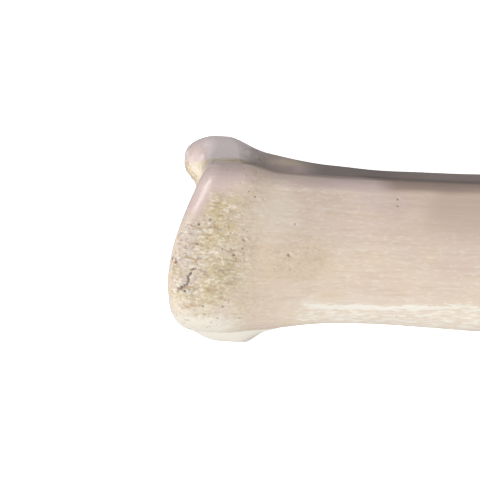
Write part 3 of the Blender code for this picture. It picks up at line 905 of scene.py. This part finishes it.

# %% [markdown]
# Other colours follow the form. The crest of the outer back ridge is rosy near the hock and
# grey-brown further on, partly painted shade where it rounds over, with a painted shadow line
# behind it. The trough is grey, partly painted shade, and painted shade darkens its far wall most.
# The knob is lilac, with painted shade on the side that faces the hock end, painted light on the
# side that faces back and a painted shadow under its lower edge. The spongy end is yellow with
# ashen clouds, and painted shade turns the back of the outer side tan away from the hock end.

# %% Colours and painted shade that follow the form
backward = out[:, 1]
behind_edge = y + 0.6 * wander - SIZE_AT["outer_back"](at)
on_shaft = fade(at, 590, 470)
crest = fade(behind_edge, -4.5, -2.2) * fade(z, top - 9, top - 5) * on_shaft
# A painted shadow line runs just behind the crest: grey, and near-black further on.
shadow_behind_crest = fade(backward, 0.75, 0.92) * fade(z, top - 12, top - 6) * fade(at, 24, 34) * on_shaft
colour_masks["rosy"] += crest * fade(at, 75, 67) * (0.45 + 0.55 * fade(at, 38, 52)) + polish
# From about 70 mm the crest turns grey-brown, partly its own colour and partly painted shade where it
# rounds away from the light.
colour_masks["grey"] += crest * fade(at, 65, 74) * (1 - 0.2 * fade(at, 84, 104)) + shadow_behind_crest
# On the knob, painted shade darkens the side that faces the hock end, over a random grey mottle. The thin
# blot is a painted shadow under the knob's lower edge.
knob_mottle_and_shade = 0.2 * fade(-out[:, 0], 0.45, 0.7) + 0.28 * fade(noise(2.0, 34), 0.1, 0.5)
colour_masks["grey"] += knob_polish * knob_mottle_and_shade + 0.45 * blot((10, 36.2, 46), (10, 2.6, 6), 18) * polish
# Lilac mottle on the knob, with painted light on its side that faces back.
lilac = 0.2 + 0.5 * fade(noise(3.2, 26), 0.0, 0.45) + 0.4 * fade(backward, 0.5, 0.8)
colour_masks["lilac"] = knob_polish * lilac * (0.75 + 0.95 * fade(at, 6, 11))
# The trough is slate grey, partly its own colour and partly painted shade.
trough_tone_and_shade = fade(backward, 0.35, 0.7) * fade(z, 70, 62) * fade(at, 620, 540) * fade(at + 2 * wander, 17, 29)
colour_masks["trough"] = trough_tone_and_shade * (1 - 0.6 * blot((41, 35, 39), (9, 5, 8), 25))
# Painted shade on the trough's far wall, darkest along its top edge and along a thin line just behind the
# crest.
far_wall = fade(backward, 0.5, 0.68) * fade(z + wander, 47, 40) * fade(at + 3 * wander, 42, 54)
wall_shadow_lines = 0.55 * fade(backward, 0.84, 0.97) + 0.5 * fade(z - 0.03 * at, 35.9, 37.1) * fade(at, 64, 74)
painted_shade = 0.1 * fade(at, 400, 150) + 0.47 * fade(at + 4 * wander, 100, 75) + wall_shadow_lines * fade(at, 190, 110)
colour_masks["painted_shade"] = far_wall * painted_shade + 0.7 * shadow_behind_crest * fade(at, 60, 72) * fade(at, 420, 250)
# Painted shade: the back half of the bone turns tan from about 80 mm on, short of the hoof end.
shaded_back_half = fade(y + 4 * noise((60, 12, 12), 19), 3, 17)
colour_masks["tan"] = fade(at + 4 * wander, 66, 92) * shaded_back_half * (1 - hoof)
colour_masks["yellow"] += 0.8 * hock * (1 - polish) + 0.5 * hoof
colour_masks["yellow"] += 0.8 * tread * fade(noise(14.0, 32), -0.1, 0.5)
colour_masks["yellow"] += 0.4 * facet * fade(noise(12.0, 33), 0.0, 0.5)
near_crack = blot((4, 7, 84), (7, 11, 9), 30)
colour_masks["ashen"] = fade(noise(11.0, 29) + 1.1 * near_crack, 0.15, 0.7)
print("The trough's stain covers", round((trough_tone_and_shade > 0.5).mean(), 3), "of the points")

# %% [markdown]
# A painted highlight runs along the front edge as a wavy white streak, with finer white strokes
# below it, and painted light pales the band near the edge.
# The front corners of the hock end and the rollers' keels are pale as well.

# %% Pale places and a painted highlight
STREAK = np.array((
    (30, -12.5), (50, -13.4), (57, -14.0), (64, -13.6), (71, -14.0), (78, -13.2), (86, -13.0), (93, -12.2),
    (98, -11.4), (103, -13.2), (115, -13.0), (140, -14.2), (175, -13.2), (230, -14.5), (300, -14.0),
    (690, -14.0),
)).T
below_streak = y - curve_through(*STREAK)(at)
lit_front_band = fade(at, 34, 48) * fade(at, 300, 130) * fade(z, top - 26, top - 16)
streak = fade(abs(below_streak + 0.5 * noise((9, 2, 2), 22)), 1.7, 0.2)
streak *= fade(at, 38, 50) * (1 - 0.35 * fade(at, 80, 90))
# Painted highlight: the white streak and the finer strokes below it along the front edge.
colour_masks["painted_highlight"] = lit_front_band * np.maximum(0.43 * fade(below_streak + wander, 2.5, -0.5), streak)
from_edge = y - SIZE_AT["outer_front"](at) + noise((25, 8, 8), 21)
# Painted light: the outer side turns paler near its front edge.
colour_masks["pale"] += 0.25 * lit_front_band * fade(from_edge, 12, 6) + 0.9 * far_front
colour_masks["pale"] += smoother_front * fade(at, 40, 15) * (0.3 + 0.45 * fade(y, -16.5, -19.5))
colour_masks["pale"] += 0.3 * tread * fade(near_keel, 0.8, 1.0)
for name, values in colour_masks.items():
    layer = bone_mesh.attributes.new(name, "FLOAT", "POINT")
    layer.data.foreach_set("value", np.clip(values, 0, 1).astype(np.float32))
print("Kept on the mesh:", sorted(colour_masks))

# %% [markdown]
# ## Shading
#
# A material is a small sum: blend this colour with that one by a mask, and darken it in the
# pits. The class below lets it be written so. It wraps a node's socket, and its operators add
# Math nodes for numbers and Vector Math nodes for vectors.

# %% A socket that can be calculated with


class Wire:
    """A node's socket that works in Python's sums."""

    tree = None

    def __init__(self, socket):
        self.socket = socket

    @classmethod
    def node(cls, kind, settings=None, sockets=None, output=0):
        """Add a node with its settings and its sockets' values or links."""
        made = cls.tree.nodes.new(kind)
        for name, value in (settings or {}).items():
            setattr(made, name, value)
        for key, value in (sockets or {}).items():
            if isinstance(value, Wire):
                cls.tree.links.new(value.socket, made.inputs[key])
            elif isinstance(value, tuple):
                made.inputs[key].default_value[:3] = value
            else:
                made.inputs[key].default_value = value
        return cls(made.outputs[output])

    def sum_node(self, operation, *values):
        """Do a sum on numbers or, if this wire carries them, vectors."""
        kind = "ShaderNodeMath" if self.socket.type == "VALUE" else "ShaderNodeVectorMath"
        return Wire.node(kind, {"operation": operation}, dict(enumerate(values)))

    def __add__(self, other):
        return self.sum_node("ADD", self, other)

    def __mul__(self, other):
        return self.sum_node("MULTIPLY", self, other)

    def __sub__(self, other):
        return self.sum_node("SUBTRACT", self, other)

    def __rsub__(self, other):
        return self.sum_node("SUBTRACT", other, self)

    __radd__ = __add__

    def between(self, low, high):
        """Return 0 at low and 1 at high, held there outside them."""
        settings = {"interpolation_type": "SMOOTHSTEP"}
        return Wire.node("ShaderNodeMapRange", settings, {0: self, 1: low, 2: high})

    def mix(self, start, stop):
        """Blend two colours, with this wire as the share of the second."""
        return Wire.node("ShaderNodeMix", {"data_type": "RGBA"}, {0: self, 6: start, 7: stop}, 2)


print("A wire can do", [name for name in vars(Wire) if name[0] != "_"])

# %% [markdown]
# The finish starts with the numbers kept on the mesh, and noise nodes add what is finer. Their
# coordinates are squeezed along the bone, which draws the specks out, for the grain into lines.

# %% Start the bone's material
finish = bpy.data.materials.new("dry_bone")
finish.use_nodes = True
Wire.tree = finish.node_tree
shader = finish.node_tree.nodes["Principled BSDF"]
place = Wire.node("ShaderNodeTexCoord", output="Object")


def kept(name):
    """Read one of the numbers that are kept on the mesh."""
    return Wire.node("ShaderNodeAttribute", {"attribute_name": name}, output="Fac")


def speckle(squeeze, size_mm, detail=2.0, rough=0.5):
    """Return noise from 0 to 1 with specks of this size, drawn out along the bone."""
    where = place * (squeeze, 1.0, 1.0)
    settings = {"Vector": where, "Scale": 1000.0 / size_mm, "Detail": detail, "Roughness": rough}
    return Wire.node("ShaderNodeTexNoise", sockets=settings)


fine_lines = speckle(0.07, 1.1, 3.0)
broad_lines = speckle(0.07, 5.0)
clouds = speckle(1.0, 26.0)
patches = speckle(0.5, 7.0, 3.0)
crumbs = speckle(0.55, 0.8, rough=0.6)
grit = speckle(0.7, 2.4)
flecks = speckle(0.35, 0.8)
dirt = speckle(0.45, 1.5)
strokes = speckle(0.22, 0.8, 3.0, 0.6)
print("The material so far has", len(finish.node_tree.nodes), "nodes")

# %% [markdown]
# Dense bone is a pinkish beige that clouds into cream. Spongy bone is yellower, with pale
# crumbs and brown gaps. Polished rims turn mauve. Painted shade turns the pits and the trough's
# far wall nearly black, and a painted highlight lies white along the front edge. Each colour is
# laid over the ones before it by its own share.

# %% Colours of dry bone
BEIGE = (0.675, 0.545, 0.455)
CREAM = (0.73, 0.605, 0.48)
HONEY = (0.70, 0.54, 0.36)
PALE = (0.84, 0.79, 0.70)
HIGHLIGHT_WHITE = (0.88, 0.855, 0.765)
LILAC = (0.80, 0.69, 0.685)
STRAW = (0.56, 0.46, 0.29)
BUFF = (0.62, 0.52, 0.385)
ASH = (0.62, 0.53, 0.47)
OCHRE = (0.44, 0.30, 0.17)
MAUVE = (0.61, 0.48, 0.46)
TAN = (0.55, 0.42, 0.345)
UMBER = (0.32, 0.235, 0.205)
SLATE = (0.29, 0.247, 0.242)
# A near-black for painted shade on the trough's far wall and behind the crest.
DEEP_SHADE = (0.095, 0.078, 0.078)
# A near-black for painted shade in the pits, holes, cracks, slit and canal.
PIT_SHADE = (0.08, 0.06, 0.045)


def layered(base, *layers):
    """Lay colours, given as (share, colour), over a base."""
    for share, layer in layers:
        base = share.mix(base, layer)
    return base


spongy = kept("spongy")
pit_shade_share = kept("dark")
highlight_share = kept("painted_highlight")
dense = layered(
    clouds.between(0.35, 0.7).mix(BEIGE, CREAM),
    (patches.between(0.54, 0.7) * 0.38, HONEY),
    (broad_lines.between(0.52, 0.72) * 0.2, PALE),
    (fine_lines.between(0.55, 0.3) * 0.17, OCHRE),
    (flecks.between(0.5, 0.68) * 0.3, PALE),
)
porous = layered(
    patches.between(0.4, 0.62).mix(STRAW, BUFF),
    (kept("ashen") * 0.75, ASH),
    (crumbs.between(0.5, 0.66) * 0.6, PALE),
    (crumbs.between(0.48, 0.33) * grit.between(0.4, 0.6) * 0.75, OCHRE),
    (dirt.between(0.57, 0.68) * 0.6, UMBER),
)
skin_tone = layered(
    spongy.mix(dense, porous),
    (kept("yellow") * (1 - spongy) * 0.5, HONEY),
    # Tan: painted shade on the back half of the shaft.
    (kept("tan") * 0.88, TAN),
    (kept("rosy") * (0.7 + grit * 0.25), MAUVE),
    (kept("grey") * 0.8, UMBER),
    # Slate in the trough: partly its own colour, partly painted shade.
    (kept("trough") * (clouds.between(0.3, 0.7) * 0.2 + 0.6), SLATE),
    # Painted shade on the trough's far wall and behind the crest.
    (kept("painted_shade") * 0.8, DEEP_SHADE),
    (kept("pale"), PALE),
    (kept("lilac"), LILAC),
    # White streak and strokes along the front edge: a painted highlight.
    ((strokes * 3.0 + highlight_share).between(1.7, 2.4) * highlight_share.between(0.05, 0.3) * 0.75, HIGHLIGHT_WHITE),
    (kept("smeared"), OCHRE),
    # Painted shade in the pits, holes, cracks, slit and canal: umber, then near-black where darkest.
    (pit_shade_share.between(0.0, 0.5) * 0.8, UMBER),
    (pit_shade_share.between(0.45, 1.0), PIT_SHADE),
)
print("The colours use", len(finish.node_tree.nodes), "nodes")

# %% [markdown]
# Gloss follows use: polished rims shine softly, dense bone is satin and spongy bone dull. Bump
# carries the finest relief: crumbs at the ends, lines on the shaft.

# %% Gloss and the finest relief
dull = 0.46 + spongy * 0.22 - kept("polished") * (0.3 - grit * 0.14) + pit_shade_share * 0.2 + crumbs * 0.06
relief = spongy * (crumbs * 0.45 + grit * 0.3) + (1 - spongy) * (fine_lines * 0.18 + flecks * 0.12)
bump = Wire.node("ShaderNodeBump", sockets={"Strength": 0.6, "Distance": 0.0006, "Height": relief})
for name, wire in (("Base Color", skin_tone), ("Roughness", dull), ("Normal", bump)):
    finish.node_tree.links.new(wire.socket, shader.inputs[name])
shader.inputs["IOR"].default_value = 1.5
bone_mesh.materials.append(finish)
print("The finished material has", len(finish.node_tree.nodes), "nodes")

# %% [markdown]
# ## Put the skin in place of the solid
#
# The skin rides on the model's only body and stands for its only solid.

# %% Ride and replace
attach(bone, "root")
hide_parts("metatarsal_bone")

# %% [markdown]
# ## Floor, light and camera
#
# The bone lies on white paper that curves up far away, so that no horizon shows. It glows a
# little, to stay white in the shade. The bone doesn't see it, or its glow would fill the shadows
# that give the bone its form.

# %% Lay the paper
FLAT_RADIUS = 2.6
SWEEP_RADIUS = 1.6
PAPER_STEPS = 96
sweep = np.linspace(0, math.pi / 2, 24)
paper_radius = np.concatenate(((0.4, 1.5), FLAT_RADIUS + SWEEP_RADIUS * np.sin(sweep)))[:, None]
paper_height = np.concatenate(((0, 0), SWEEP_RADIUS * (1 - np.cos(sweep))))[:, None]
turn = np.linspace(0, 2 * math.pi, PAPER_STEPS, endpoint=False)
paper_rings = np.stack(np.broadcast_arrays(
    paper_radius * np.cos(turn), paper_radius * np.sin(turn), paper_height), axis=-1)
floor_mesh = mesh_of("floor", skin(paper_rings, first=np.zeros(3)))
floor_mesh.shade_smooth()
floor = placed("floor", floor_mesh)
floor.visible_diffuse = False
floor.visible_glossy = False
paper = bpy.data.materials.new("white_paper")
paper.use_nodes = True
sheet = paper.node_tree.nodes["Principled BSDF"]
for name, value in {
    "Base Color": (0.85, 0.85, 0.85, 1), "Roughness": 0.9, "Specular IOR Level": 0.1,
    "Emission Color": (1, 1, 1, 1), "Emission Strength": 0.85,
}.items():
    sheet.inputs[name].default_value = value
floor_mesh.materials.append(paper)
floor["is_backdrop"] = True
print("The paper is", 2 * (FLAT_RADIUS + SWEEP_RADIUS), "m wide")

# %% [markdown]
# One large soft window stands at the hock end and a little to the front, so that the outer side
# is evenly lit and the trough falls into shade. A small lamp puts a gleam on the polished rim
# and lights the knob. A weaker window stands off the hoof end, and a weak sky fills the rest.

# %% Light it


def soft_light(name, target, direction, distance, size, power):
    """Hang a square soft light in this direction from a target."""
    light = bpy.data.lights.new(name, "AREA")
    light.size = size
    light.energy = power
    lamp = placed(name, light)
    target = Vector(target)
    way = Vector(direction).normalized()
    lamp.location = target + way * distance
    lamp.rotation_euler = way.to_track_quat("Z", "Y").to_euler()
    lamp.visible_camera = False
    return lamp


window = soft_light("window", (-0.2, 0, 0.03), (-0.57, -0.60, 0.56), 2.2, 1.3, 39)
soft_light("gleam", (-0.335, 0.02, 0.06), (-0.70, 0.47, 0.53), 0.5, 0.26, 1.3)
soft_light("far_window", (0.33, 0, 0.04), (0.72, -0.42, 0.55), 1.4, 1.0, 11)
sky = bpy.data.worlds.new("studio")
sky.use_nodes = True
sky.node_tree.nodes["Background"].inputs["Color"].default_value = (0.98, 0.99, 1, 1)
sky.node_tree.nodes["Background"].inputs["Strength"].default_value = 0.31
bpy.context.scene.world = sky
bpy.context.scene.view_settings.view_transform = "Standard"
print("The window hangs at", np.round(window.location, 2))

# %% [markdown]
# The camera looks straight down at the hock end from 28 cm above the floor, and is turned a
# little, so that the bone slopes slightly down to the picture's right edge.

# %% Set the camera
CAMERA_PLACE = (-0.3215, -0.0003, 0.284)
CAMERA_TURN = math.radians(2.3)
FOCAL_PIXELS = 650
PICTURE_PIXELS = 480
SENSOR = 36.0
view = bpy.data.cameras.new("camera")
view.sensor_width = SENSOR
view.lens = SENSOR * FOCAL_PIXELS / PICTURE_PIXELS
view.clip_start = 0.01
camera = placed("camera", view)
camera.location = CAMERA_PLACE
camera.rotation_euler = (0, 0, CAMERA_TURN)
bpy.context.scene.camera = camera
print("The lens is", round(view.lens, 2), "mm")

# %% [markdown]
